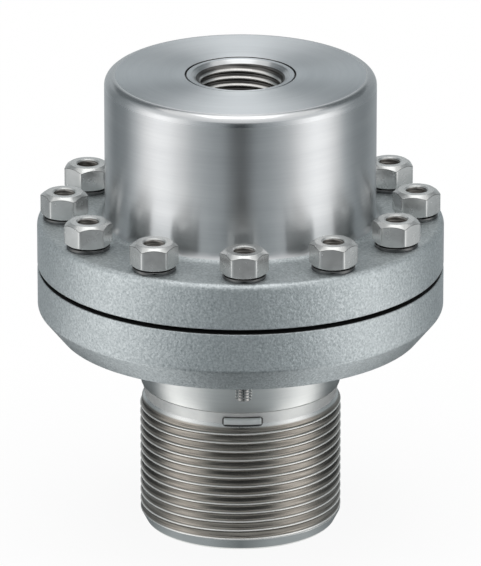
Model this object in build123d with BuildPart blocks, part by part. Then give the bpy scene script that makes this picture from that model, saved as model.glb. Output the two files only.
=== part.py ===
"""Diaphragm seal for a pressure gauge: two flanged housings clamped by twelve studs and nuts.

The axis of the seal is Z. The end of the male process thread lies on Z = 0, and the face
that takes the gauge is at the top. Sizes are in millimetres.
"""
import os
from math import cos, pi, radians, sin, tan

from build123d import *

os.makedirs("parts", exist_ok=True)

# Turn of the nuts, the lug and the earth stud about the axis, from the front
front_turn = 1.2

# Process thread, parallel pipe thread of size 1 1/2 with 11 1/2 threads per inch
process_thread_r = 23.9
process_thread_depth = 1.43
process_thread_len = 30.8
end_chamfer_width = 1.5
end_chamfer_len = 2.9
spigot_wall = 5.0

# Run-out relief above the thread, with its raised lug
relief_len = 4.2
relief_depth = 1.1
runout_len = 1.1
neck_step = 0.3
lug_width = 9.9
lug_height = 2.15
lug_rise = 0.35
lug_drop = 1.3

# Neck and lower flange, which tapers in below its rim
neck_len = 13.1
neck_drop = 0.3
neck_round = 1.0
taper_height = 6.1
taper_width = 5.0
taper_round = 0.5
lower_rim_height = 9.3
flange_gap = 1.1

# Upper flange and boss
upper_flange_height = 10.9
boss_r = 32.0
boss_height = 35.5
boss_round = 2.5
foot_round = 2.5
rim_round = 1.5
edge_break = 0.3

# Gauge thread, parallel pipe thread of size 1/2, in a shallow spotface
gauge_thread_r = 10.48
gauge_thread_core_r = 9.316
gauge_thread_len = 20.0
spotface_r = 13.1
spotface_depth = 0.35
oil_bore_r = 1.5

# M6 studs, nuts and washers
bolt_count = 12
stud_r = 3.0
stud_chamfer = 0.6
stud_engagement = 8.0
stud_recess = 1.3
hole_clearance = 0.3
thread_clearance = 0.05
drill_gap = 0.4
nut_flats = 10.0
nut_height = 5.8
nut_face_share = 0.86
nut_slope = 35.0
nut_base_slope = 25.0
nut_lead_in = 0.3
washer_height = 0.8
washer_rim = 0.1
wrench_gap = 1.23
rim_land = 0.73

# Diaphragm, its seat and the gasket under it
register_wall = 5.5
register_depth = 2.9
register_clearance = 0.2
gasket_height = 1.5
seal_land = 6.0
diaphragm_thickness = 0.25
corrugation_count = 4
corrugation_rise = 0.45
diaphragm_boss_r = 7.0
diaphragm_land = 1.5
oil_gap = 0.4

# Small threaded earth stud under the lower flange
earth_stud_r = 2.0
earth_stud_len = 10.9
earth_stud_grip = 6.0
earth_stud_inset = 6.5

# Turn of each nut's front flat from the front of the seal, as tightened
nut_turns = [-1, -5, -10, -7, -14, 12, 4, -8, 15, -5, 9, 0]

# Radii that follow
nut_corner_r = nut_flats / 2 / cos(pi / 6)
washer_r = nut_flats / 2 + washer_rim
bolt_circle_r = boss_r + foot_round + wrench_gap + nut_corner_r
flange_r = bolt_circle_r + nut_corner_r + rim_land
taper_r = flange_r - taper_width
neck_r = process_thread_r - neck_drop
bore_r = process_thread_r - process_thread_depth - spigot_wall
register_r = bolt_circle_r - stud_r - register_wall
chamber_r = register_r - seal_land
stud_hole_r = stud_r + hole_clearance
tapped_r = stud_r + thread_clearance

# Levels that follow
relief_base = process_thread_len
neck_base = relief_base + relief_len
lower_flange_base = neck_base + neck_len
lower_rim_base = lower_flange_base + taper_height
lower_flange_top = lower_rim_base + lower_rim_height
upper_flange_base = lower_flange_top + flange_gap
upper_flange_top = upper_flange_base + upper_flange_height
boss_top = upper_flange_top + boss_height
register_face = upper_flange_base - register_depth
diaphragm_base = register_face - diaphragm_thickness
recess_floor = diaphragm_base - gasket_height
stud_base = lower_flange_top - stud_engagement
nut_base = upper_flange_top + washer_height
nut_top = nut_base + nut_height
stud_top = nut_top - stud_recess


def ring_edges(part, radius, level):
    """Circular edges of a given radius at a given height, centred on the axis."""
    return part.edges().filter_by(
        lambda edge: edge.geom_type == GeomType.CIRCLE
        and abs(edge.radius - radius) < 0.01
        and abs(edge.arc_center.Z - level) < 0.01
        and abs(edge.arc_center.X) + abs(edge.arc_center.Y) < 0.01
    )


def bolt_plane(index, level):
    """Plane square to the axis at one bolt, with its X axis parallel to the seal's."""
    angle = radians(-90 + front_turn + 360 * index / bolt_count)
    return Plane(origin=(bolt_circle_r * cos(angle), bolt_circle_r * sin(angle), level))


def finish(part, name):
    """Name a piece and write it."""
    part.label = name
    export_step(part, f"parts/{name}.step")


# Upper housing: boss, flange and the register that carries the diaphragm
with BuildPart() as upper_housing:
    with BuildSketch(Plane.XZ):
        with BuildLine():
            Polyline(
                (0, register_face),
                (register_r, register_face),
                (register_r, upper_flange_base),
                (flange_r, upper_flange_base),
                (flange_r, upper_flange_top),
                (boss_r, upper_flange_top),
                (boss_r, boss_top),
                (0, boss_top),
                close=True,
            )
        make_face()
    revolve(axis=Axis.Z)
    fillet(ring_edges(upper_housing, boss_r, boss_top), boss_round)
    fillet(ring_edges(upper_housing, boss_r, upper_flange_top), foot_round)
    fillet(ring_edges(upper_housing, flange_r, upper_flange_top), rim_round)
    chamfer(ring_edges(upper_housing, flange_r, upper_flange_base), edge_break)

    # Spotface, gauge thread with its lead-in, and the bore to the oil chamber
    with BuildSketch(Plane.XZ):
        thread_face = boss_top - spotface_depth
        lead_in = gauge_thread_r - gauge_thread_core_r
        thread_floor = thread_face - gauge_thread_len
        drill_tip = thread_floor - (gauge_thread_core_r - oil_bore_r) * tan(radians(30))
        oil_floor = register_face + corrugation_rise + oil_gap
        with BuildLine():
            Polyline(
                (0, boss_top),
                (spotface_r, boss_top),
                (spotface_r, thread_face),
                (gauge_thread_r, thread_face),
                (gauge_thread_core_r, thread_face - lead_in),
                (gauge_thread_core_r, thread_floor),
                (oil_bore_r, drill_tip),
                (oil_bore_r, oil_floor),
                (chamber_r - diaphragm_land, oil_floor),
                (chamber_r, register_face),
                (0, register_face),
                close=True,
            )
        make_face()
    revolve(axis=Axis.Z, mode=Mode.SUBTRACT)

    with BuildSketch(Plane.XY.offset(upper_flange_top)):
        with PolarLocations(bolt_circle_r, bolt_count, start_angle=-90 + front_turn):
            Circle(stud_hole_r)
    extrude(amount=-upper_flange_height, mode=Mode.SUBTRACT)

finish(upper_housing.part, "upper_housing")

# Lower housing: thread, relief, neck and tapered flange turned in one piece
with BuildPart() as lower_housing:
    with BuildSketch(Plane.XZ):
        with BuildLine():
            Polyline(
                (0, 0),
                (process_thread_r - end_chamfer_width, 0),
                (process_thread_r, end_chamfer_len),
                (process_thread_r, relief_base),
                (process_thread_r - relief_depth, relief_base + runout_len),
                (neck_r - neck_step, neck_base),
                (neck_r, neck_base),
                (neck_r, lower_flange_base),
                (taper_r, lower_flange_base),
                (flange_r, lower_rim_base),
                (flange_r, lower_flange_top),
                (0, lower_flange_top),
                close=True,
            )
        make_face()
    revolve(axis=Axis.Z)
    fillet(ring_edges(lower_housing, neck_r, lower_flange_base), neck_round)
    fillet(ring_edges(lower_housing, taper_r, lower_flange_base), taper_round)
    fillet(ring_edges(lower_housing, flange_r, lower_rim_base), rim_round)
    chamfer(ring_edges(lower_housing, flange_r, lower_flange_top), edge_break)

    # Raised lug across the relief, at the front
    lug_top = neck_base - lug_drop
    with BuildSketch(Plane.XY.offset(lug_top - lug_height)):
        Circle(neck_r + lug_rise)
        Circle((neck_r + bore_r) / 2, mode=Mode.SUBTRACT)
        with PolarLocations(neck_r, 1, start_angle=-90 + front_turn):
            Rectangle(2 * (neck_r - bore_r), lug_width, mode=Mode.INTERSECT)
    extrude(amount=lug_height)

    # Process bore, widening to the diaphragm, and the gasket's recess
    with BuildSketch(Plane.XZ):
        with BuildLine():
            Polyline(
                (0, 0),
                (bore_r, 0),
                (bore_r, lower_flange_base),
                (chamber_r, recess_floor),
                (register_r + register_clearance, recess_floor),
                (register_r + register_clearance, lower_flange_top),
                (0, lower_flange_top),
                close=True,
            )
        make_face()
    revolve(axis=Axis.Z, mode=Mode.SUBTRACT)
    chamfer(ring_edges(lower_housing, bore_r, 0), edge_break)

    # Tapped holes for the studs
    with BuildSketch(Plane.XY.offset(lower_flange_top)):
        with PolarLocations(bolt_circle_r, bolt_count, start_angle=-90 + front_turn):
            Circle(tapped_r)
    extrude(amount=-(stud_engagement + drill_gap), mode=Mode.SUBTRACT)

    # Tapped hole for the earth stud
    earth_circle_r = taper_r - taper_round - earth_stud_inset
    with BuildSketch(Plane.XY.offset(lower_flange_base)):
        with PolarLocations(earth_circle_r, 1, start_angle=-90 + front_turn):
            Circle(earth_stud_r + thread_clearance)
    extrude(amount=earth_stud_grip + drill_gap, mode=Mode.SUBTRACT)

finish(lower_housing.part, "lower_housing")

# Diaphragm: thin disc with rings of shallow corrugations between its boss and its rim
corrugated_r = chamber_r - diaphragm_land
ring_pitch = (corrugated_r - diaphragm_boss_r) / corrugation_count
wave = [(diaphragm_boss_r, 0)]
for ring in range(corrugation_count):
    wave.append((diaphragm_boss_r + (ring + 0.5) * ring_pitch, corrugation_rise))
    wave.append((diaphragm_boss_r + (ring + 1) * ring_pitch, 0))
lower_wave = [(r, diaphragm_base + rise) for r, rise in wave]
upper_wave = [(r, register_face + rise) for r, rise in reversed(wave)]

with BuildPart() as diaphragm:
    with BuildSketch(Plane.XZ):
        with BuildLine():
            Polyline(
                (0, diaphragm_base),
                *lower_wave,
                (register_r, diaphragm_base),
                (register_r, register_face),
                *upper_wave,
                (0, register_face),
                close=True,
            )
        make_face()
    revolve(axis=Axis.Z)

finish(diaphragm.part, "diaphragm")

# Flat gasket between the diaphragm and the lower housing
with BuildPart() as process_gasket:
    with BuildSketch(Plane.XY.offset(recess_floor)):
        Circle(register_r)
        Circle(chamber_r, mode=Mode.SUBTRACT)
    extrude(amount=gasket_height)

finish(process_gasket.part, "process_gasket")

# Earth stud, screwed up into the underside of the flange
with BuildPart() as earth_stud:
    with BuildSketch(Plane.XY.offset(lower_flange_base + earth_stud_grip)):
        with PolarLocations(earth_circle_r, 1, start_angle=-90 + front_turn):
            Circle(earth_stud_r)
    extrude(amount=-earth_stud_len)
    chamfer(earth_stud.edges().group_by(Axis.Z)[0], edge_break)

finish(earth_stud.part, "earth_stud")

# Washers, nuts and studs, numbered round the bolt circle from the front
nut_face_r = nut_face_share * nut_flats / 2
nut_drop = (nut_corner_r - nut_face_r) * tan(radians(nut_slope))
nut_base_drop = (nut_corner_r - nut_face_r) * tan(radians(nut_base_slope))

for index in range(bolt_count):
    number = f"{index + 1:02d}"

    with BuildPart() as washer:
        with BuildSketch(bolt_plane(index, upper_flange_top)):
            Circle(washer_r)
            Circle(stud_hole_r, mode=Mode.SUBTRACT)
        extrude(amount=washer_height)

    finish(washer.part, f"washer_{number}")

    with BuildPart() as nut:
        nut_plane = bolt_plane(index, nut_base)
        with BuildSketch(nut_plane):
            turn = nut_turns[index % len(nut_turns)]
            RegularPolygon(nut_flats / 2, 6, major_radius=False, rotation=turn)
        extrude(amount=nut_height)
        axis_plane = Plane(origin=nut_plane.origin, x_dir=(1, 0, 0), z_dir=(0, -1, 0))
        with BuildSketch(axis_plane):
            with BuildLine():
                Polyline(
                    (tapped_r, 0),
                    (nut_face_r, 0),
                    (nut_corner_r, nut_base_drop),
                    (nut_corner_r, nut_height - nut_drop),
                    (nut_face_r, nut_height),
                    (tapped_r + nut_lead_in, nut_height),
                    (tapped_r, nut_height - nut_lead_in),
                    close=True,
                )
            make_face()
        revolve(axis=Axis(nut_plane.origin, (0, 0, 1)), mode=Mode.INTERSECT)

    finish(nut.part, f"nut_{number}")

    with BuildPart() as stud:
        with BuildSketch(bolt_plane(index, stud_base)):
            Circle(stud_r)
        extrude(amount=stud_top - stud_base)
        chamfer(stud.edges().group_by(Axis.Z)[-1], stud_chamfer)

    finish(stud.part, f"stud_{number}")
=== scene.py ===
from math import atan2, ceil, cos, floor, hypot, pi, radians, sin, sqrt, tan

import bmesh
import bpy
import numpy as np
from mathutils import Matrix, Vector
from mathutils.geometry import delaunay_2d_cdt


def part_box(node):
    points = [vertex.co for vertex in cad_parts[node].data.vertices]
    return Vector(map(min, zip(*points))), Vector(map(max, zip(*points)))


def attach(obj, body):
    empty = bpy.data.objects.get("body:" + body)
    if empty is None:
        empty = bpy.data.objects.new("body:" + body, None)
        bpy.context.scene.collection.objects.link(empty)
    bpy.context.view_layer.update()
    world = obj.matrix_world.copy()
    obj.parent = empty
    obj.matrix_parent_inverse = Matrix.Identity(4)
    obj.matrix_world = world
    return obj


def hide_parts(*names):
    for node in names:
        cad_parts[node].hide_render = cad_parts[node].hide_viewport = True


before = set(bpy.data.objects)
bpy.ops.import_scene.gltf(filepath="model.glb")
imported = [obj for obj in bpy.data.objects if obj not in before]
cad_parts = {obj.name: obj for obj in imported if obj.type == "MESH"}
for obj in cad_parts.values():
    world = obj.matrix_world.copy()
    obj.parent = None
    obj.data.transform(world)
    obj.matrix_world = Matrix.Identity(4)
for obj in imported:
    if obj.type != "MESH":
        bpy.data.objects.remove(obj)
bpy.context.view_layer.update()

MM = 0.001
# A small allowance, in millimetres, where a profile's rows are told apart.
HAIR = 0.01
COLUMNS = 240
HOLE_STEPS = 32


def box_mm(name):
    """The low and the high corner of a node's box, in millimetres."""
    return [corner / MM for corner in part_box(name)]


# Sizes in millimetres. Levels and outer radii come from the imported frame.

upper_low, upper_high = box_mm("upper_housing")
lower_flange_top = box_mm("lower_housing")[1].z
washer_low, washer_high = box_mm("washer_01")
nut_low, nut_high = box_mm("nut_01")
stud_low, stud_high = box_mm("stud_01")
flange_r = upper_high.x
boss_top = upper_high.z
register_face = upper_low.z
register_height = 2.9
upper_flange_base = register_face + register_height
upper_flange_top = washer_low.z

process_thread_r = 23.9
process_thread_pitch = 2.209
process_thread_rise = 0.5
process_thread_low = 0.4
process_cut_from = 2.5
process_cut_full = 3.8
ridge_narrowness = 9
front_crest = 29.57
end_r = 22.4
end_chamfer_len = 2.9
end_slope = (process_thread_r - end_r) / end_chamfer_len
bore_r = 17.47
relief_r = 22.8
runout_top = 31.9
runout_slope = 0.55

neck_base = 35.0
neck_r = 23.6
neck_len = 13.1
neck_step = 0.3
neck_groove = 0.25
taper_height = 6.1
taper_width = 5.0
lower_flange_base = neck_base + neck_len
lower_rim_base = lower_flange_base + taper_height
taper_r = flange_r - taper_width
lug_width = 9.9
lug_height = 2.15
lug_drop = 1.3
lug_stand = 0.35
lug_root = 2.0
lug_round = 0.7
lug_top = neck_base - lug_drop
rim_round = 1.5
edge_break = 0.3

boss_r = 32.0
boss_round = 2.5
foot_round = 2.5
spotface_r = 13.1
spotface_depth = 0.35
groove_width = 0.45
groove_depth = 0.55
ledge_drop = 0.1
lip_drop = 0.12
lip_width = 1.15
gauge_thread_r = 10.48
gauge_thread_core_r = 9.316
gauge_thread_pitch = 1.814
gauge_thread_len = 20.0
gauge_lead_in = 0.52
gauge_mouth_len = 0.7
gauge_fade_len = 2.0
gauge_depth_shown = 0.7
gauge_back_crest = 108.7
thread_face = boss_top - spotface_depth
gauge_low = thread_face - gauge_thread_len
gauge_high = thread_face - gauge_lead_in

bolt_count = 12
front_turn = 1.2
stud_r = 3.0
stud_pitch = 1.0
stud_play = 0.3
blind_hole_play = 0.05
blind_hole_spare = 0.4
nut_flats = 10.0
nut_height = nut_high.z - nut_low.z
nut_face_r = 0.86 * nut_flats / 2
nut_turns = [-1, -5, -10, -7, -14, 12, 4, -8, 15, -5, 9, 0]
washer_overhang = 0.1
washer_r = nut_flats / 2 + washer_overhang
rim_margin = 0.73
bolt_circle_r = flange_r - nut_flats / 2 / cos(pi / 6) - rim_margin

bolt_wall = 5.5
seal_width = 6.0
recess_play = 0.2
chamber_chamfer = 1.5
oil_gap = 0.85
oil_bore_r = 1.5
diaphragm_t = 0.25
gasket_t = 1.5
register_r = bolt_circle_r - stud_r - bolt_wall
chamber_r = register_r - seal_width
recess_r = register_r + recess_play
oil_floor = register_face + oil_gap

# Where a thread's mesh has its rows, in turns off the crest.
PROCESS_PHASES = [-0.5, -0.4, -0.3, -0.24, -0.19, -0.15, -0.11, -0.07, -0.03,
                  0.03, 0.07, 0.11, 0.15, 0.19, 0.24, 0.3, 0.4]
GAUGE_PHASES = [-0.5, -0.42, -0.36, -0.24, -0.12, -0.07, 0.0, 0.07, 0.12, 0.24, 0.36, 0.42]
FASTENER_PHASES = [-0.5, -0.3, -0.15, 0.0, 0.15, 0.3]


# Profiles

def rounded(points, radii, steps=6):
    """A polyline whose inner corners are arcs of the given radii.

    A radius of 0 keeps the corner, and a corner past the last radius is left out.
    """
    out = [points[0]]
    for before, corner, after, radius in zip(points, points[1:], points[2:], radii):
        if radius <= 0:
            out.append(corner)
            continue
        a = Vector(before) - Vector(corner)
        b = Vector(after) - Vector(corner)
        half = a.angle(b) / 2
        reach = radius / tan(half)
        centre = Vector(corner) + (a.normalized() + b.normalized()).normalized() * (radius / sin(half))
        start = Vector(corner) + a.normalized() * reach - centre
        end = Vector(corner) + b.normalized() * reach - centre
        sweep = atan2(start.x * end.y - start.y * end.x, start.dot(end))
        for i in range(steps + 1):
            turned = Matrix.Rotation(sweep * i / steps, 2) @ start
            out.append(tuple(centre + turned))
    out.append(points[-1])
    return out


def split_long(points, longest):
    """The same polyline with its long straight runs divided."""
    out = [points[0]]
    for a, b in zip(points, points[1:]):
        parts = max(1, ceil(hypot(b[0] - a[0], b[1] - a[1]) / longest))
        for i in range(1, parts + 1):
            out.append((a[0] + (b[0] - a[0]) * i / parts, a[1] + (b[1] - a[1]) * i / parts))
    return out


def row_spans(profile):
    """The least radius, the greatest radius and the lowest level of each row between a profile's points."""
    return [(min(r1, r2), max(r1, r2), min(z1, z2)) for (r1, z1), (r2, z2) in zip(profile, profile[1:])]


def thread_rise(phase, crest, root, soft):
    """Height of a cut thread, from 0 at the root to 1 at the crest, for a phase in turns."""
    phase = np.abs((phase + 0.5) % 1.0 - 0.5)
    flank = (0.5 - root - phase) / (0.5 - root - crest)
    flank = np.clip(flank, -0.5, 1.5)
    low = np.logaddexp(0.0, flank / soft) * soft
    return 1.0 - np.logaddexp(0.0, (1.0 - low) / soft) * soft


def ridge_rise(phase, narrowness):
    """Height of a thread with rounded crests, from 0 in its wide roots to 1 at the crest."""
    return np.abs(np.cos(pi * phase)) ** narrowness


def thread_rows(low, high, pitch, crest, angle, phases):
    """Levels and phases of a thread's mesh rows in one column; at angle 0 a crest lies at its level."""
    first = floor((low - crest) / pitch) - 1
    turns = ceil((high - low) / pitch) + 3
    whole = np.arange(first, first + turns)[:, None] + np.array(phases)[None, :]
    levels = np.clip(crest + (whole.ravel() + angle / (2 * pi)) * pitch, low, high)
    return levels, (levels - crest) / pitch - angle / (2 * pi)


def ease(values, low, high):
    """A soft step from 0 at the low value to 1 at the high one."""
    share = np.clip((values - low) / (high - low), 0, 1)
    return share * share * (3 - 2 * share)


# Meshes

def new_piece(name, mesh, material_names):
    piece = bpy.data.objects.new(name, mesh)
    bpy.context.scene.collection.objects.link(piece)
    for material in material_names:
        mesh.materials.append(bpy.data.materials[material])
    return piece


def ring_point(r, z, angle):
    return (r * cos(angle) * MM, r * sin(angle) * MM, z * MM)


def add_strip(bm, column_at, columns, material_at=None, flip=False):
    """Quads between neighbouring columns of (r, z) points, all the way round.

    column_at gives the points at an angle, and material_at a material's number for a row and its level.
    """
    grid = []
    for i in range(columns + 1):
        angle = 2 * pi * i / columns
        grid.append([bm.verts.new(ring_point(r, z, angle)) for r, z in column_at(angle)])
    for left, right in zip(grid, grid[1:]):
        for row in range(len(left) - 1):
            quad = [left[row], right[row], right[row + 1], left[row + 1]]
            if flip:
                quad.reverse()
            face = bm.faces.new(quad)
            if material_at:
                face.material_index = material_at(row, left[row].co.z / MM)


def add_holed_ring(bm, inner_r, outer_r, level, hole_r, upward, material):
    """A flat ring with the bolts' holes in it."""
    points = []
    edges = []

    def add_circle(centre_x, centre_y, radius, steps):
        first = len(points)
        for i in range(steps):
            angle = 2 * pi * i / steps
            points.append(Vector((centre_x + radius * cos(angle), centre_y + radius * sin(angle))))
            edges.append((first + i, first + (i + 1) % steps))

    holes = [Vector(centre) for centre in bolt_centres()]
    add_circle(0, 0, inner_r, COLUMNS)
    add_circle(0, 0, outer_r, COLUMNS)
    for hole in holes:
        add_circle(hole.x, hole.y, hole_r, HOLE_STEPS)
    corners, _, triangles = delaunay_2d_cdt(points, edges, [], 0, 1e-5)[:3]
    verts = [bm.verts.new((p.x * MM, p.y * MM, level * MM)) for p in corners]
    for triangle in triangles:
        a, b, c = [corners[k] for k in triangle]
        centre = (a + b + c) / 3
        in_hole = any((centre - hole).length < hole_r for hole in holes)
        if inner_r < centre.length < outer_r and not in_hole:
            ordered = [verts[k] for k in triangle]
            if ((b - a).cross(c - a) > 0) != upward:
                ordered.reverse()
            bm.faces.new(ordered).material_index = material


def add_hole_walls(bm, hole_r, low, high, closed, material):
    """The walls of the bolts' holes, with a floor in each where they are closed."""
    angles = [2 * pi * i / HOLE_STEPS for i in range(HOLE_STEPS)]
    for x, y in bolt_centres():
        rings = []
        for z in (low, high):
            ring = [((x + hole_r * cos(a)) * MM, (y + hole_r * sin(a)) * MM, z * MM) for a in angles]
            rings.append([bm.verts.new(point) for point in ring])
        for i in range(HOLE_STEPS):
            k = (i + 1) % HOLE_STEPS
            wall = bm.faces.new([rings[0][i], rings[1][i], rings[1][k], rings[0][k]])
            wall.material_index = material
        if closed:
            bm.faces.new(rings[0]).material_index = material


def close_mesh(bm, name, sharp_degrees=38):
    """Welds the seams, turns the faces outward and gives a smooth-shaded mesh with sharp edges kept."""
    weld_m = 2e-6
    sliver_m = 1e-6
    bmesh.ops.remove_doubles(bm, verts=bm.verts, dist=weld_m)
    bmesh.ops.recalc_face_normals(bm, faces=bm.faces)
    bmesh.ops.dissolve_degenerate(bm, dist=sliver_m, edges=bm.edges)
    loose = [v for v in bm.verts if not v.link_faces]
    bmesh.ops.delete(bm, geom=loose, context="VERTS")
    mesh = bpy.data.meshes.new(name)
    bm.to_mesh(mesh)
    bm.free()
    for polygon in mesh.polygons:
        polygon.use_smooth = True
    mesh.set_sharp_from_angle(angle=radians(sharp_degrees))
    return mesh


def bolt_centres():
    angles = [radians(-90 + front_turn + 360 * i / bolt_count) for i in range(bolt_count)]
    return [(bolt_circle_r * cos(a), bolt_circle_r * sin(a)) for a in angles]


# Shader nodes

# The part of a noise's range that holds nearly all of its values.
NOISE_SPAN = (0.3, 0.7)


def node(tree, kind, **values):
    made = tree.nodes.new(kind)
    for key, value in values.items():
        setattr(made, key, value)
    return made


def object_place(tree):
    return node(tree, "ShaderNodeTexCoord").outputs["Object"]


def lathe_coordinates(tree, place):
    """Radius with height, and strokes that run a little way round: the tool's path about the axis."""
    split = node(tree, "ShaderNodeSeparateXYZ")
    tree.links.new(place, split.inputs[0])
    flat = node(tree, "ShaderNodeCombineXYZ")
    tree.links.new(split.outputs["X"], flat.inputs["X"])
    tree.links.new(split.outputs["Y"], flat.inputs["Y"])
    radius = node(tree, "ShaderNodeVectorMath", operation="LENGTH")
    tree.links.new(flat.outputs[0], radius.inputs[0])
    joined = node(tree, "ShaderNodeCombineXYZ")
    tree.links.new(radius.outputs["Value"], joined.inputs["X"])
    tree.links.new(split.outputs["Z"], joined.inputs["Z"])
    across = node(tree, "ShaderNodeMath", operation="SUBTRACT")
    tree.links.new(split.outputs["Z"], across.inputs[0])
    tree.links.new(radius.outputs["Value"], across.inputs[1])
    slow = node(tree, "ShaderNodeVectorMath", operation="SCALE")
    slow.inputs["Scale"].default_value = 0.05
    tree.links.new(flat.outputs[0], slow.inputs[0])
    rise = node(tree, "ShaderNodeCombineXYZ")
    tree.links.new(across.outputs[0], rise.inputs["Z"])
    strokes = node(tree, "ShaderNodeVectorMath", operation="ADD")
    tree.links.new(slow.outputs[0], strokes.inputs[0])
    tree.links.new(rise.outputs[0], strokes.inputs[1])
    return joined.outputs[0], strokes.outputs[0]


def noise(tree, vector, scale, detail=2.0, roughness=0.5):
    made = node(tree, "ShaderNodeTexNoise")
    made.inputs["Scale"].default_value = scale
    made.inputs["Detail"].default_value = detail
    made.inputs["Roughness"].default_value = roughness
    tree.links.new(vector, made.inputs["Vector"])
    return made.outputs["Fac"]


def mapped(tree, value, source, target, kind="LINEAR"):
    """A value moved from one range to another, and held within it."""
    made = node(tree, "ShaderNodeMapRange", interpolation_type=kind)
    made.inputs["From Min"].default_value = source[0]
    made.inputs["From Max"].default_value = source[1]
    made.inputs["To Min"].default_value = target[0]
    made.inputs["To Max"].default_value = target[1]
    tree.links.new(value, made.inputs["Value"])
    return made.outputs[0]


def tinted(tree, value, dark, light):
    """A colour between a dark and a light tone, by a noise."""
    ramp = node(tree, "ShaderNodeValToRGB")
    for element, position, tone in zip(ramp.color_ramp.elements, NOISE_SPAN, (dark, light)):
        element.position = position
        element.color = (*tone, 1)
    tree.links.new(value, ramp.inputs["Fac"])
    return ramp.outputs["Color"]


def overlaid(tree, colour, tone, share):
    """A colour with a plain tone laid over it."""
    made = node(tree, "ShaderNodeMix", data_type="RGBA")
    made.inputs["B"].default_value = (*tone, 1)
    tree.links.new(share, made.inputs["Factor"])
    tree.links.new(colour, made.inputs["A"])
    return made.outputs["Result"]


def blended(tree, first, second, share):
    """A value between two others, at a fixed share."""
    made = node(tree, "ShaderNodeMix", data_type="FLOAT")
    made.inputs["Factor"].default_value = share
    tree.links.new(first, made.inputs["A"])
    tree.links.new(second, made.inputs["B"])
    return made.outputs["Result"]


def bump(tree, height, distance, normal=None):
    made = node(tree, "ShaderNodeBump")
    made.inputs["Strength"].default_value = 1.0
    made.inputs["Distance"].default_value = distance
    tree.links.new(height, made.inputs["Height"])
    if normal is not None:
        tree.links.new(normal, made.inputs["Normal"])
    return made.outputs["Normal"]


def new_material(name, metallic):
    material = bpy.data.materials.new(name)
    material.use_nodes = True
    tree = material.node_tree
    surface = tree.nodes["Principled BSDF"]
    surface.inputs["Metallic"].default_value = metallic
    return tree, surface


def finish_surface(tree, surface, colour, roughness, normal):
    tree.links.new(colour, surface.inputs["Base Color"])
    tree.links.new(roughness, surface.inputs["Roughness"])
    tree.links.new(normal, surface.inputs["Normal"])


# Materials: a dark and a light tone, a range of roughness, and what the tool or the blast left behind; some
# tones are painted shade or painted highlight

def turned_steel(name, dark, light, roughness, groove_scale, groove_depth, anisotropy):
    """Steel cut on a lathe: fine rings round the axis, and a sheen drawn out across them."""
    tree, surface = new_material(name, 1.0)
    place = object_place(tree)
    lathe, strokes = lathe_coordinates(tree, place)
    grooves = noise(tree, strokes, groove_scale, 3.0, 0.6)
    bands = noise(tree, lathe, groove_scale / 9, 1.0)
    cloud = noise(tree, place, 60.0, 3.0)
    colour = tinted(tree, blended(tree, bands, grooves, 0.4), dark, light)
    sheen = mapped(tree, cloud, NOISE_SPAN, roughness)
    finish_surface(tree, surface, colour, sheen, bump(tree, grooves, groove_depth))
    surface.inputs["Anisotropic"].default_value = anisotropy
    surface.inputs["Anisotropic Rotation"].default_value = 0.25
    tangent = node(tree, "ShaderNodeTangent", direction_type="RADIAL", axis="Z")
    tree.links.new(tangent.outputs[0], surface.inputs["Tangent"])


def threaded_steel(name, dark, light, crest_highlight_tone, crest_metal, roughness, root_r, crest_r, plain_above):
    """A turned thread: darker strokes, painted shade in its roots, painted highlight on its crests, plain
    steel above a level.
    """
    plain_tone = (0.73, 0.74, 0.73)
    plain_blend = 0.25
    tree, surface = new_material(name, 1.0)
    lathe, strokes = lathe_coordinates(tree, object_place(tree))
    split = node(tree, "ShaderNodeSeparateXYZ")
    tree.links.new(lathe, split.inputs[0])
    grooves = noise(tree, strokes, 2500.0, 3.0, 0.6)
    # By radius, 0 in the roots and 1 at the crests: the roots keep the dark tones as painted shade, the
    # crests get a painted highlight tone and less metal.
    crest_light_root_shade = mapped(tree, split.outputs["X"], (root_r * MM, crest_r * MM), (0, 1), "SMOOTHSTEP")
    plain_span = ((plain_above - plain_blend) * MM, (plain_above + plain_blend) * MM)
    plain = mapped(tree, split.outputs["Z"], plain_span, (0, 1), "SMOOTHSTEP")
    colour = overlaid(tree, tinted(tree, grooves, dark, light), crest_highlight_tone, crest_light_root_shade)
    colour = overlaid(tree, colour, plain_tone, plain)
    sheen = mapped(tree, crest_light_root_shade, (0, 1), roughness)
    finish_surface(tree, surface, colour, sheen, bump(tree, grooves, 0.000002))
    tree.links.new(mapped(tree, crest_light_root_shade, (0, 1), (1.0, crest_metal)), surface.inputs["Metallic"])


def blasted_steel(name, dark, light, roughness, grain_depth):
    """Steel under a bead blast: fine even grain, a little uneven in tone."""
    tree, surface = new_material(name, 1.0)
    place = object_place(tree)
    grain = noise(tree, place, 1900.0, 2.0, 0.7)
    pits = noise(tree, place, 1100.0, 2.0)
    cloud = noise(tree, place, 45.0, 4.0, 0.6)
    colour = tinted(tree, blended(tree, cloud, grain, 0.8), dark, light)
    sheen = mapped(tree, pits, NOISE_SPAN, roughness)
    fine = bump(tree, grain, grain_depth)
    finish_surface(tree, surface, colour, sheen, bump(tree, pits, grain_depth * 1.6, fine))


def bright_steel(name, dark, light, roughness, metallic=1.0):
    """Rolled or milled steel with a bright finish and faint tool marks."""
    tree, surface = new_material(name, metallic)
    place = object_place(tree)
    marks = noise(tree, place, 600.0)
    cloud = noise(tree, place, 300.0, 3.0)
    sheen = mapped(tree, marks, NOISE_SPAN, roughness)
    finish_surface(tree, surface, tinted(tree, cloud, dark, light), sheen, bump(tree, marks, 0.000001))


def gasket_plastic(name, dark, light, roughness):
    tree, surface = new_material(name, 0.0)
    cloud = noise(tree, object_place(tree), 200.0, 3.0)
    sheen = mapped(tree, cloud, NOISE_SPAN, roughness)
    finish_surface(tree, surface, tinted(tree, cloud, dark, light), sheen, bump(tree, cloud, 0.00001))


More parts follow.
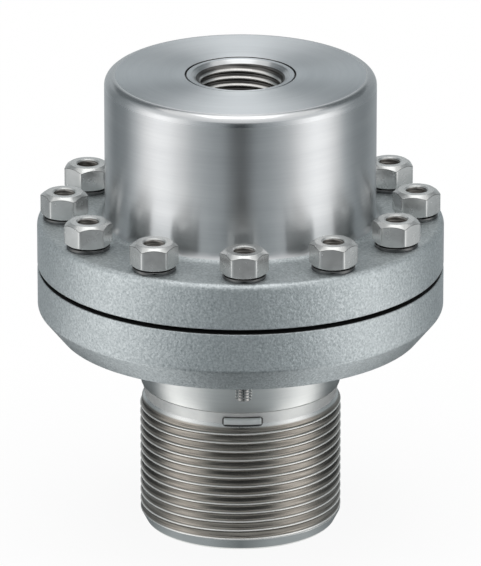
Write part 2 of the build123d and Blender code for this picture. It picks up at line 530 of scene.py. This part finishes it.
def build_materials():
    turned_steel("boss_turned", (0.59, 0.60, 0.61), (0.68, 0.69, 0.695), (0.28, 0.31),
                 groove_scale=1800.0, groove_depth=0.0000015, anisotropy=0.91)
    turned_steel("edge_turned", (0.62, 0.63, 0.64), (0.70, 0.71, 0.715), (0.18, 0.22),
                 groove_scale=1800.0, groove_depth=0.000001, anisotropy=0.5)
    turned_steel("face_turned", (0.57, 0.60, 0.62), (0.66, 0.69, 0.71), (0.34, 0.37),
                 groove_scale=1500.0, groove_depth=0.0000015, anisotropy=0.92)
    # Near-black steel that stands in for shade in gaps, grooves and under edges: painted shade.
    turned_steel("steel_dark_as_shade", (0.06, 0.06, 0.06), (0.10, 0.10, 0.10), (0.50, 0.60),
                 groove_scale=2500.0, groove_depth=0.000002, anisotropy=0.3)
    turned_steel("neck_cut", (0.68, 0.69, 0.68), (0.79, 0.80, 0.78), (0.26, 0.32),
                 groove_scale=2200.0, groove_depth=0.0000025, anisotropy=0.4)
    turned_steel("foil", (0.62, 0.61, 0.58), (0.72, 0.71, 0.69), (0.18, 0.26),
                 groove_scale=1500.0, groove_depth=0.000002, anisotropy=0.4)
    # The gauge thread's near-black roots are painted shade and its pale crests a painted highlight.
    threaded_steel("bore_cut", (0.06, 0.057, 0.054), (0.15, 0.145, 0.14),
                   crest_highlight_tone=(0.74, 0.73, 0.71), crest_metal=1.0, roughness=(0.30, 0.22),
                   root_r=gauge_thread_core_r + 0.55, crest_r=gauge_thread_core_r + 0.20,
                   plain_above=boss_top)
    # Brownish roots darkened as painted shade; near-white, less metallic crests as a painted highlight.
    threaded_steel("thread_cut", (0.21, 0.19, 0.165), (0.40, 0.37, 0.33),
                   crest_highlight_tone=(0.98, 0.97, 0.94), crest_metal=0.67, roughness=(0.24, 0.24),
                   root_r=process_thread_r - 0.27, crest_r=process_thread_r - 0.04,
                   plain_above=front_crest + 1.55)
    blasted_steel("flange_blasted", (0.39, 0.43, 0.44), (0.74, 0.78, 0.79), (0.44, 0.54), 0.00007)
    bright_steel("fastener_bright", (0.57, 0.58, 0.57), (0.66, 0.67, 0.66), (0.23, 0.28), 0.72)
    bright_steel("relief_steel", (0.64, 0.65, 0.64), (0.74, 0.75, 0.73), (0.30, 0.36), 0.5)
    bright_steel("lug_steel", (0.58, 0.61, 0.60), (0.68, 0.71, 0.70), (0.28, 0.34), 0.5)
    bright_steel("earth_stud_rolled", (0.46, 0.45, 0.44), (0.66, 0.65, 0.64), (0.07, 0.11))
    # Also darkens the nuts' threaded holes as painted shade.
    bright_steel("stud_rolled", (0.27, 0.255, 0.24), (0.42, 0.405, 0.385), (0.28, 0.38))
    # Near-black washers: painted shade under the nuts, with only their rounded edges catching light.
    bright_steel("washer_dark_as_shade", (0.10, 0.10, 0.10), (0.18, 0.18, 0.18), (0.16, 0.24))
    gasket_plastic("gasket", (0.78, 0.78, 0.75), (0.88, 0.88, 0.85), (0.4, 0.55))


# Upper housing

def upper_outside():
    """From the flange's top up the boss, over its faced top and groove, to the gauge thread's mouth."""
    corners = [
        (boss_r + foot_round, upper_flange_top),
        (boss_r, upper_flange_top),
        (boss_r, boss_top),
        (spotface_r, boss_top),
        (spotface_r, boss_top - groove_depth),
        (spotface_r - groove_width, boss_top - groove_depth),
        (spotface_r - groove_width, boss_top - ledge_drop),
        (gauge_thread_r + lip_width, boss_top - lip_drop),
        (gauge_thread_r + 0.72, thread_face - 0.05),
        (gauge_thread_r + 0.65, thread_face - 0.05),
        (gauge_thread_r + 0.6, thread_face - 0.1),
        (gauge_thread_r, gauge_high),
    ]
    # The last corner has no radius here, so it is left out and only turns the arc before it.
    radii = [foot_round, boss_round, 0.06, 0, 0, 0.05, 0.03, 0.03, 0.03]
    return split_long(rounded(corners, radii, 8), 3.0)


def upper_inside():
    """From the gauge thread's end down the oil bore, out along the chamber, to the flange's underside."""
    drill_tip = gauge_low - (gauge_thread_core_r - oil_bore_r) * tan(radians(30))
    corners = [
        (gauge_thread_core_r, gauge_low),
        (oil_bore_r, drill_tip),
        (oil_bore_r, oil_floor),
        (chamber_r - chamber_chamfer, oil_floor),
        (chamber_r, register_face),
        (register_r, register_face),
        (register_r, upper_flange_base),
    ]
    return rounded(corners, [0, 0, 0, 0, 0.3], 3)


def gauge_thread(angle):
    """The gauge thread's points in one column, from its mouth down."""
    crest = gauge_back_crest - gauge_thread_pitch / 4
    levels, phase = thread_rows(gauge_low, gauge_high, gauge_thread_pitch, crest, angle, GAUGE_PHASES)
    fade = np.clip((levels - gauge_low) / gauge_fade_len, 0, 1)
    depth = gauge_depth_shown * (gauge_thread_r - gauge_thread_core_r)
    radii = gauge_thread_core_r + depth * fade * (1 - thread_rise(phase, 0.04, 0.05, 0.05))
    mouth = np.clip((levels - gauge_high + gauge_mouth_len) / gauge_mouth_len, 0, 1)
    radii = radii + (gauge_thread_r - radii) * mouth
    return list(zip(radii, levels))[::-1]


def build_upper_housing():
    boss, flange, bore, painted_recess_shade, face, edge = range(6)
    materials = ["boss_turned", "flange_blasted", "bore_cut", "steel_dark_as_shade", "face_turned", "edge_turned"]
    outside = upper_outside()
    inside = upper_inside()
    spans = row_spans(outside)
    blasted_rows = 5
    register_points = 5
    margin = 0.05

    def column(angle):
        return outside + gauge_thread(angle) + inside

    register_start = len(column(0.0)) - register_points

    def material_at(row, level):
        if row < blasted_rows:
            return flange
        if row < len(spans):
            near, far, low = spans[row]
            on_ledge = gauge_thread_r + lip_width + margin < far < spotface_r - groove_width + margin
            in_groove = spotface_r - groove_width - HAIR < near < spotface_r + HAIR
            if low > boss_top - HAIR or on_ledge:
                return face
            if low > boss_top - boss_round - HAIR and far > boss_r - boss_round + HAIR:
                return edge
            # The groove round the faced top is painted shade.
            if in_groove and low < boss_top - lip_drop:
                return painted_recess_shade
        # The register wall between the flanges is painted shade.
        if row >= register_start:
            return painted_recess_shade
        return boss if row < len(outside) + 1 else bore

    bm = bmesh.new()
    add_strip(bm, column, COLUMNS, material_at, flip=True)
    rim = rounded([
        (flange_r - rim_round, upper_flange_top),
        (flange_r, upper_flange_top),
        (flange_r, upper_flange_base),
        (flange_r - edge_break, upper_flange_base),
    ], [rim_round, edge_break], 8)
    add_strip(bm, lambda angle: rim, COLUMNS, lambda row, level: flange)
    hole_r = stud_r + stud_play
    add_holed_ring(bm, boss_r + foot_round, flange_r - rim_round, upper_flange_top, hole_r, True, flange)
    # The flange's underside, in the gap, is painted shade.
    add_holed_ring(bm, register_r, flange_r - edge_break, upper_flange_base, hole_r, False, painted_recess_shade)
    add_hole_walls(bm, hole_r, upper_flange_base, upper_flange_top, False, bore)
    piece = new_piece("upper_housing_turned", close_mesh(bm, "upper_housing_turned"), materials)
    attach(piece, "root")
    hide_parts("upper_housing")


# Lower housing

def lower_inside():
    """From the recess down through the bore and out over the thread's end."""
    recess_floor = register_face - diaphragm_t - gasket_t
    corners = [
        (recess_r, lower_flange_top),
        (recess_r, recess_floor),
        (chamber_r, recess_floor),
        (bore_r, lower_flange_base),
        (bore_r, 0.0),
        (end_r, 0.0),
        (end_r + end_slope * process_thread_low, process_thread_low),
    ]
    return split_long(rounded(corners, [0.2, 0.4, 2.0, edge_break, 0.2], 4), 4.0)


def lower_outside():
    """From the thread's runout up the relief, the neck, the taper and the rim."""
    groove_r = neck_r - neck_step - neck_groove
    corners = [
        (relief_r, runout_top),
        (neck_r - neck_step, neck_base - neck_step),
        (groove_r, neck_base - neck_groove),
        (groove_r, neck_base),
        (neck_r, neck_base),
        (neck_r, lower_flange_base),
        (taper_r, lower_flange_base),
        (flange_r, lower_rim_base),
        (flange_r, lower_flange_top),
        (flange_r - edge_break, lower_flange_top),
    ]
    return split_long(rounded(corners, [0, 0, 0, 0.06, 1.0, 0.5, rim_round, edge_break], 8), 3.0)


def process_thread(angle):
    """The process thread's points in one column, from its end up to its runout."""
    crest = front_crest + process_thread_pitch / 4
    levels, phase = thread_rows(process_thread_low, runout_top, process_thread_pitch, crest, angle,
                                PROCESS_PHASES)
    cut = ease(levels, process_cut_from, process_cut_full) * process_thread_rise
    radii = process_thread_r - cut * (1 - ridge_rise(phase, ridge_narrowness))
    radii = np.minimum(radii, end_r + end_slope * levels)
    radii = np.minimum(radii, relief_r + runout_slope * (runout_top - levels))
    return list(zip(radii, levels))


def build_lower_housing():
    flange, thread, neck, painted_recess_shade, relief = range(5)
    materials = ["flange_blasted", "thread_cut", "neck_cut", "steel_dark_as_shade", "relief_steel"]
    inside = lower_inside()
    outside = lower_outside()
    end_rows = len(inside) - 2
    past_corner = 1.5
    thread_end = len(inside) + len(process_thread(0.0))
    relief_end = thread_end + [z >= neck_base - HAIR for r, z in outside].index(True)
    flange_start = thread_end - 1 + [r > neck_r + past_corner for r, z in outside].index(True)

    def column(angle):
        return inside + process_thread(angle) + outside

    def material_at(row, level):
        if row < end_rows:
            return neck
        if row < thread_end - 1:
            return thread if level > end_chamfer_len else neck
        if row < relief_end:
            return relief
        return neck if row < flange_start else flange

    bm = bmesh.new()
    add_strip(bm, column, COLUMNS, material_at)
    hole_r = stud_r + blind_hole_play
    hole_floor = stud_low.z - blind_hole_spare
    # The lower flange's top, in the gap, is painted shade.
    add_holed_ring(bm, recess_r, flange_r - edge_break, lower_flange_top, hole_r, True, painted_recess_shade)
    add_hole_walls(bm, hole_r, hole_floor, lower_flange_top, True, thread)
    piece = new_piece("lower_housing_turned", close_mesh(bm, "lower_housing_turned"), materials)
    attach(piece, "root")
    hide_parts("lower_housing")


def lug_rings(bm, steps):
    """Rounded sections along the lug, which shrink towards its rounded ends."""
    low = lug_top - lug_height
    outer = neck_r + lug_stand
    inner = outer - lug_root
    half = lug_width / 2
    ends = [0.0, 0.03, 0.1, 0.2, 0.35, 0.5, 0.7]
    places = [-half + end for end in ends] + list(np.linspace(-half + 1.0, half - 1.0, 17))
    places = places + [half - end for end in reversed(ends)]
    rings = []
    for place in places:
        short = max(0.0, lug_round - (half - abs(place)))
        inset = lug_round - sqrt(lug_round ** 2 - short ** 2)
        corner_r = max(0.05, lug_round - inset)
        section = rounded([
            (inner, low + inset),
            (outer - inset, low + inset),
            (outer - inset, lug_top - inset),
            (inner, lug_top - inset),
        ], [corner_r, corner_r], steps)
        angle = radians(-90 + front_turn) + place / outer
        rings.append([bm.verts.new(ring_point(r, z, angle)) for r, z in section])
    return rings


def build_lug():
    """The raised lug across the relief: a bar bent round the neck, with painted shade below, above and at
    its ends.
    """
    steps = 6
    shade_painted_end_rings = 5
    bright, painted_shade = range(2)
    bm = bmesh.new()
    rings = lug_rings(bm, steps)
    for i, (a, b) in enumerate(zip(rings, rings[1:])):
        # Rings near the ends, and faces below and above the middle rows, take painted shade.
        bright_ring = shade_painted_end_rings <= i < len(rings) - 1 - shade_painted_end_rings
        for j in range(len(a)):
            k = (j + 1) % len(a)
            face = bm.faces.new([a[j], a[k], b[k], b[j]])
            face.material_index = bright if bright_ring and steps <= j < 2 * steps else painted_shade
    bm.faces.new(rings[0]).material_index = painted_shade
    bm.faces.new(list(reversed(rings[-1]))).material_index = painted_shade
    piece = new_piece("relief_lug", close_mesh(bm, "relief_lug"), ["lug_steel", "steel_dark_as_shade"])
    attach(piece, "root")


# Fasteners

def hex_radius(angle, sharpness=45.0):
    """Radius of a hexagon with slightly rounded corners, flats square to angle 0."""
    total = sum(max(0.0, cos(angle - side * pi / 3)) ** sharpness for side in range(6))
    return nut_flats / 2 * total ** (-1 / sharpness)


def hex_angles(per_side):
    """Angles all the way round a hexagon, close together at its corners."""
    angles = []
    for side in range(6):
        for i in range(per_side):
            t = -1 + 2 * i / per_side
            bent = np.sign(t) * (1 - (1 - abs(t)) ** 1.6)
            angles.append(side * pi / 3 + bent * pi / 6)
    return angles + [2 * pi + angles[0]]


def add_columns(bm, columns, centre, turn, level, material_rows=()):
    """A closed shell from columns of (r, z) points about a bolt's axis.

    Each pair in material_rows gives a material's number and the range of rows it covers.
    """
    grid = []
    for angle, points in columns:
        across = cos(angle + turn)
        along = sin(angle + turn)
        grid.append([
            bm.verts.new(((centre[0] + r * across) * MM, (centre[1] + r * along) * MM, (level + z) * MM))
            for r, z in points
        ])
    for a, b in zip(grid, grid[1:]):
        for j in range(len(a) - 1):
            face = bm.faces.new([a[j], b[j], b[j + 1], a[j + 1]])
            for material, rows in material_rows:
                if j in rows:
                    face.material_index = material


def nut_hole(angle, core_r, low, high):
    """The points down a nut's threaded hole in one column."""
    depth = 0.5
    edge_r = core_r + 0.1
    levels, phase = thread_rows(low, high, stud_pitch, low, angle, FASTENER_PHASES)
    radii = core_r + depth * (1 - thread_rise(phase, 0.1, 0.08, 0.08))
    radii[levels >= high - 1e-6] = edge_r
    radii[levels <= low + 1e-6] = edge_r
    return list(zip(radii, levels))[::-1]


def nut_columns():
    """A nut chamfered on both sides, and the rows of its painted shade: a thin line at its top chamfer's
    edge, and its threaded hole.
    """
    top_slope = tan(radians(35))
    low_slope = tan(radians(25))
    core_r = stud_r - 0.55
    mouth_r = core_r + 0.75
    hole_top_r = 2.85
    hole_low = 0.7
    lead_in = 0.3
    arc_steps = 4
    columns = []
    for angle in hex_angles(16):
        side_r = hex_radius(angle)
        outline = rounded([
            (mouth_r, 0.0),
            (nut_face_r, 0.0),
            (side_r, (side_r - nut_face_r) * low_slope),
            (side_r, nut_height - (side_r - nut_face_r) * top_slope),
            (nut_face_r, nut_height),
            (hole_top_r, nut_height),
            (core_r + 0.1, nut_height - lead_in),
        ], [0.25, 0.12, 0.1, 0.2, 0.1], arc_steps)
        hole = nut_hole(angle, core_r, hole_low, nut_height - lead_in)
        columns.append((angle, outline[:-1] + hole + [(mouth_r, 0.0)]))
    arc_points = arc_steps + 1
    top_arc = 1 + 2 * arc_points
    hole_start = 1 + 5 * arc_points
    edge_shade_rows = range(top_arc, top_arc + arc_steps)
    hole_rows = range(hole_start, len(columns[0][1]) - 2)
    return columns, edge_shade_rows, hole_rows


def stud_columns(radius, pitch, length, chamfer, sides, thread_from):
    """A threaded stud with a plain foot and a chamfered top."""
    depth = 0.6 * pitch
    low = [(0.0, 0.0), (radius - 0.5, 0.0), (radius - 0.1, 0.4)]
    top = [(radius - chamfer - 0.3, length), (radius - chamfer - 0.6, length - 0.08), (0.0, length - 0.1)]
    columns = []
    for i in range(sides + 1):
        angle = 2 * pi * i / sides
        levels, phase = thread_rows(thread_from, length, pitch, thread_from, angle, FASTENER_PHASES)
        radii = radius - depth * (1 - thread_rise(phase, 0.08, 0.08, 0.08))
        radii = np.minimum(radii, radius - chamfer + (length - levels))
        radii[levels >= length - 1e-6] = radius - chamfer
        radii[levels <= thread_from + 1e-6] = radius - 0.1
        columns.append((angle, low + list(zip(radii, levels)) + top))
    return columns


def washer_columns():
    height = washer_high.z - washer_low.z
    hole_r = stud_r + stud_play
    ring = rounded([
        (hole_r, height / 2),
        (hole_r, 0.0),
        (washer_r, 0.0),
        (washer_r, height),
        (hole_r, height),
        (hole_r, height / 2),
    ], [0.1, 0.12, 0.2, 0.1], 4)
    sides = 64
    return [(2 * pi * i / sides, ring) for i in range(sides + 1)]


def finish_fastener(bm, name, materials, replaced):
    piece = new_piece(name, close_mesh(bm, name, 34), materials)
    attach(piece, "root")
    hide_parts(replaced)


def build_fasteners():
    nut, edge_shade_rows, hole_rows = nut_columns()
    nut_materials = ["fastener_bright", "steel_dark_as_shade", "stud_rolled"]
    painted_shade, hole_painted_dark = 1, 2
    stud_len = stud_high.z - stud_low.z
    stud = stud_columns(stud_r, stud_pitch, stud_len, chamfer=0.6, sides=32, thread_from=0.5)
    stud_turn = 0.9
    washer = washer_columns()
    for index, centre in enumerate(bolt_centres()):
        number = f"{index + 1:02d}"
        bm = bmesh.new()
        add_columns(bm, washer, centre, 0.0, washer_low.z)
        finish_fastener(bm, f"washer_turned_{number}", ["washer_dark_as_shade"], f"washer_{number}")
        bm = bmesh.new()
        nut_turn = radians(-90 + nut_turns[index])
        # The thin line at the top chamfer's edge is painted shade, and so is the threaded hole, in the
        # studs' darker steel.
        add_columns(bm, nut, centre, nut_turn, nut_low.z, [(painted_shade, edge_shade_rows), (hole_painted_dark, hole_rows)])
        finish_fastener(bm, f"nut_hex_{number}", nut_materials, f"nut_{number}")
        bm = bmesh.new()
        add_columns(bm, stud, centre, index * stud_turn, stud_low.z)
        finish_fastener(bm, f"stud_threaded_{number}", ["stud_rolled"], f"stud_{number}")


def build_earth_stud():
    """The small stud under the flange, turned over so that its chamfered end points down."""
    low, high = box_mm("earth_stud")
    centre = ((low.x + high.x) / 2, (low.y + high.y) / 2)
    length = high.z - low.z
    upright = stud_columns(2.0, 0.7, length, chamfer=0.3, sides=40, thread_from=0.4)
    columns = [(angle, [(r, length - z) for r, z in points]) for angle, points in upright]
    bm = bmesh.new()
    add_columns(bm, columns, centre, 0.0, low.z)
    finish_fastener(bm, "earth_stud_threaded", ["earth_stud_rolled"], "earth_stud")


# Diaphragm and gasket

def build_diaphragm():
    """Foil disc with smooth concentric corrugations."""
    base = register_face - diaphragm_t
    start_r = 7.0
    flat_rim = 1.5
    stop_r = chamber_r - flat_rim
    waves = 4
    wave_rise = 0.225
    waved = np.linspace(start_r, stop_r, waves * 12 + 1)
    radii = np.concatenate([[0.0, 3.0, 6.0], waved, [chamber_r, register_r]])
    turns = 2 * pi * waves * (radii - start_r) / (stop_r - start_r)
    in_waves = (radii >= start_r) & (radii <= stop_r)
    rise = np.where(in_waves, wave_rise * (1 - np.cos(turns)), 0.0)
    under = list(zip(radii, base + rise))
    over = list(zip(radii[::-1], base + diaphragm_t + rise[::-1]))
    bm = bmesh.new()
    add_strip(bm, lambda angle: under + over, 120)
    piece = new_piece("diaphragm_foil_disc", close_mesh(bm, "diaphragm_foil_disc"), ["foil"])
    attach(piece, "root")
    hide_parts("diaphragm")


def dress_gasket():
    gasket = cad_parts["process_gasket"]
    gasket.data.materials.clear()
    gasket.data.materials.append(bpy.data.materials["gasket"])


# Studio, in metres

def add_camera():
    """The photograph's view: from the front, about 20 degrees above level, through a long lens."""
    distance = 1.9
    elevation = radians(19.9)
    target = Vector((0.0, 0.0, 0.0589))
    scale_px_per_m = 4226.0
    picture_height_px = 566.0
    camera_data = bpy.data.cameras.new("camera")
    camera = bpy.data.objects.new("camera", camera_data)
    bpy.context.scene.collection.objects.link(camera)
    camera.location = target + Vector((0, -cos(elevation), sin(elevation))) * distance
    camera.rotation_euler = (pi / 2 - elevation, 0, 0)
    camera_data.sensor_width = 36.0
    camera_data.lens = scale_px_per_m * distance * camera_data.sensor_width / picture_height_px
    camera_data.clip_start = 0.01
    camera_data.clip_end = 50
    bpy.context.scene.camera = camera


def add_lamp():
    """A square lamp overhead, a little behind the seal."""
    radiance = 1.1
    side = 0.45
    place = Vector((0.0, 0.05, 0.9))
    target = Vector((0.0, 0.0, 0.07))
    lamp_data = bpy.data.lights.new("key_top", "AREA")
    lamp_data.shape = "RECTANGLE"
    lamp_data.size = side
    lamp_data.size_y = side
    lamp_data.energy = radiance * pi * side * side
    lamp = bpy.data.objects.new("key_top", lamp_data)
    bpy.context.scene.collection.objects.link(lamp)
    lamp.location = place
    lamp.rotation_euler = (target - place).to_track_quat("-Z", "Y").to_euler()
    lamp.visible_camera = False


def add_shades(tree, shades):
    """Light by direction round the seal, from pairs of degrees off the front and a radiance.

    Degrees to the left are negative, and shades under 1 are a little cool.
    """
    brightest = 2.0
    turn = node(tree, "ShaderNodeTexGradient", gradient_type="RADIAL")
    ramp = node(tree, "ShaderNodeValToRGB")
    tree.links.new(object_place(tree), turn.inputs[0])
    tree.links.new(turn.outputs["Fac"], ramp.inputs["Fac"])
    elements = ramp.color_ramp.elements
    elements.remove(elements[0])
    for index, (degrees, shade) in enumerate(sorted(shades)):
        place = 0.5 + degrees / 360
        stop = elements[0] if index == 0 else elements.new(place)
        stop.position = place
        cool = max(0.0, 1.0 - shade)
        stop.color = [shade / brightest * (1.0 + cool * tint) for tint in (-0.13, -0.01, 0.05)] + [1]
    glow = node(tree, "ShaderNodeEmission")
    glow.inputs["Strength"].default_value = brightest
    tree.links.new(ramp.outputs["Color"], glow.inputs["Color"])
    tree.links.new(glow.outputs[0], tree.nodes["Material Output"].inputs[0])


def both_sides(shades):
    """The same shades to the left and to the right."""
    return [(-degrees, shade) for degrees, shade in shades if degrees] + shades


def add_card(name, edges, shades):
    """A studio card bent right round the seal, between two (radius, level) edges.

    Only the metal's reflections see it.
    """
    material = bpy.data.materials.new(name)
    material.use_nodes = True
    material.node_tree.nodes.remove(material.node_tree.nodes["Principled BSDF"])
    add_shades(material.node_tree, shades)
    steps = 96
    verts = []
    for radius, level in edges:
        for i in range(steps):
            angle = 2 * pi * i / steps
            verts.append((radius * cos(angle), radius * sin(angle), level))
    faces = [(i, (i + 1) % steps, steps + (i + 1) % steps, steps + i) for i in range(steps)]
    mesh = bpy.data.meshes.new(name)
    mesh.from_pydata(verts, [], faces)
    mesh.materials.append(material)
    card = bpy.data.objects.new(name, mesh)
    bpy.context.scene.collection.objects.link(card)
    card.rotation_euler = (0, 0, -pi / 2)
    card.visible_camera = False
    card.visible_diffuse = False
    card.visible_shadow = False
    card.visible_transmission = False


def build_cards():
    """Cards on the floor in rings, and three more standing round them as a wall."""
    wall_r = 0.55
    card_level = 0.0004
    sole = [(0, 0.20), (20, 0.38), (45, 0.42), (70, 0.22), (110, 0.15), (180, 0.15)]
    foot = [(0, 0.58), (18, 0.58), (30, 0.76), (52, 0.90), (74, 0.45), (100, 0.28), (180, 0.28)]
    near = [(0, 0.03), (14, 0.05), (26, 0.13), (34, 0.58), (42, 1.10), (54, 1.1), (66, 0.55), (76, 0.16),
            (88, 0.08), (110, 0.06), (180, 0.06)]
    inner = [(0, 0.03), (14, 0.05), (26, 0.10), (34, 0.42), (42, 0.90), (54, 1.35), (66, 1.55), (76, 1.20),
             (86, 0.45), (96, 0.12), (110, 0.06), (180, 0.06)]
    middle = [(0, 0.52), (12, 0.48), (25, 0.41), (40, 0.31), (58, 0.40), (70, 0.84), (83, 1.20), (92, 0.9),
              (103, 0.4), (115, 0.20), (130, 0.24), (180, 0.30)]
    far = [(-180, 0.53), (-150, 0.48), (-129, 0.25), (-108, 0.32), (-95, 0.68), (-84, 1.1), (-72, 1.4),
           (-60, 1.35), (-52, 1.1), (-45, 0.9), (-38, 0.65), (-24, 0.44), (-14, 0.34), (-7, 0.12),
           (0, 0.03), (7, 0.12), (12, 0.30), (24, 0.42), (38, 0.68), (45, 0.92), (52, 1.25), (63, 1.5),
           (75, 1.3), (84, 0.95), (95, 0.5), (108, 0.32), (125, 0.29), (150, 0.40), (180, 0.53)]
    back = [(90, 0.85), (112, 0.4), (130, 0.18), (160, 0.16), (171, 0.54), (180, 1.22)]
    upper = [(0, 0.08), (14, 0.22), (34, 0.5), (50, 0.85)] + back
    high = [(0, 0.85)] + back
    floor_cards = [
        ("sole_card", 0.0226, 0.029, both_sides(sole)),
        ("foot_card", 0.029, 0.040, both_sides(foot)),
        ("near_card", 0.040, 0.058, both_sides(near)),
        ("inner_card", 0.058, 0.102, both_sides(inner)),
        ("middle_card", 0.102, 0.170, both_sides(middle)),
        ("far_card", 0.170, wall_r, far),
    ]
    for name, inner_r, outer_r, shades in floor_cards:
        add_card(name, [(inner_r, card_level), (outer_r, card_level)], shades)
    wall_cards = [
        ("low_wall_card", card_level, 0.34, far),
        ("upper_wall_card", 0.34, 0.43, both_sides(upper)),
        ("high_wall_card", 0.43, 0.85, both_sides(high)),
    ]
    for name, low, top, shades in wall_cards:
        add_card(name, [(wall_r, low), (wall_r, top)], shades)


def background_rays(tree):
    """1 for the rays that see the plain background: the camera's, reflections and transmission."""
    path = node(tree, "ShaderNodeLightPath")
    first = node(tree, "ShaderNodeMath", operation="MAXIMUM")
    second = node(tree, "ShaderNodeMath", operation="MAXIMUM")
    tree.links.new(path.outputs["Is Camera Ray"], first.inputs[0])
    tree.links.new(path.outputs["Is Glossy Ray"], first.inputs[1])
    tree.links.new(first.outputs[0], second.inputs[0])
    tree.links.new(path.outputs["Is Transmission Ray"], second.inputs[1])
    return second.outputs[0]


def build_world():
    world = bpy.data.worlds.new("studio")
    bpy.context.scene.world = world
    world.use_nodes = True
    tree = world.node_tree
    tree.nodes.clear()
    room = node(tree, "ShaderNodeBackground")
    room.inputs["Color"].default_value = (0.84, 0.84, 0.85, 1)
    white = node(tree, "ShaderNodeBackground")
    white.inputs["Color"].default_value = (1.0, 1.0, 1.0, 1)
    mix = node(tree, "ShaderNodeMixShader")
    tree.links.new(background_rays(tree), mix.inputs[0])
    tree.links.new(room.outputs[0], mix.inputs[1])
    tree.links.new(white.outputs[0], mix.inputs[2])
    out = node(tree, "ShaderNodeOutputWorld")
    tree.links.new(mix.outputs[0], out.inputs[0])


def floor_material():
    """Pale and matt, and whiter to the background's rays the further it lies from the seal."""
    material = bpy.data.materials.new("floor")
    material.use_nodes = True
    tree = material.node_tree
    surface = tree.nodes["Principled BSDF"]
    surface.inputs["Base Color"].default_value = (0.9, 0.9, 0.9, 1)
    surface.inputs["Roughness"].default_value = 1.0
    surface.inputs["Specular IOR Level"].default_value = 0.0
    distance = node(tree, "ShaderNodeVectorMath", operation="LENGTH")
    tree.links.new(object_place(tree), distance.inputs[0])
    share = node(tree, "ShaderNodeMath", operation="MULTIPLY")
    tree.links.new(background_rays(tree), share.inputs[0])
    tree.links.new(mapped(tree, distance.outputs["Value"], (0.03, 0.12), (0.90, 0.995)), share.inputs[1])
    glow = node(tree, "ShaderNodeEmission")
    mix = node(tree, "ShaderNodeMixShader")
    tree.links.new(share.outputs[0], mix.inputs[0])
    tree.links.new(surface.outputs[0], mix.inputs[1])
    tree.links.new(glow.outputs[0], mix.inputs[2])
    tree.links.new(mix.outputs[0], tree.nodes["Material Output"].inputs[0])
    return material


def build_floor():
    """A pale floor that runs out into the white background and keeps a soft shadow round the seal."""
    size = 6.0
    level = -0.00005
    corners = [(-size, -size, level), (size, -size, level), (size, size, level), (-size, size, level)]
    mesh = bpy.data.meshes.new("floor")
    mesh.from_pydata(corners, [], [(0, 1, 2, 3)])
    mesh.materials.append(floor_material())
    ground = bpy.data.objects.new("floor", mesh)
    bpy.context.scene.collection.objects.link(ground)


build_materials()
build_upper_housing()
build_lower_housing()
build_lug()
build_fasteners()
build_earth_stud()
build_diaphragm()
dress_gasket()
add_camera()
build_world()
build_floor()
add_lamp()
build_cards()
bpy.context.scene.view_settings.view_transform = "Standard"
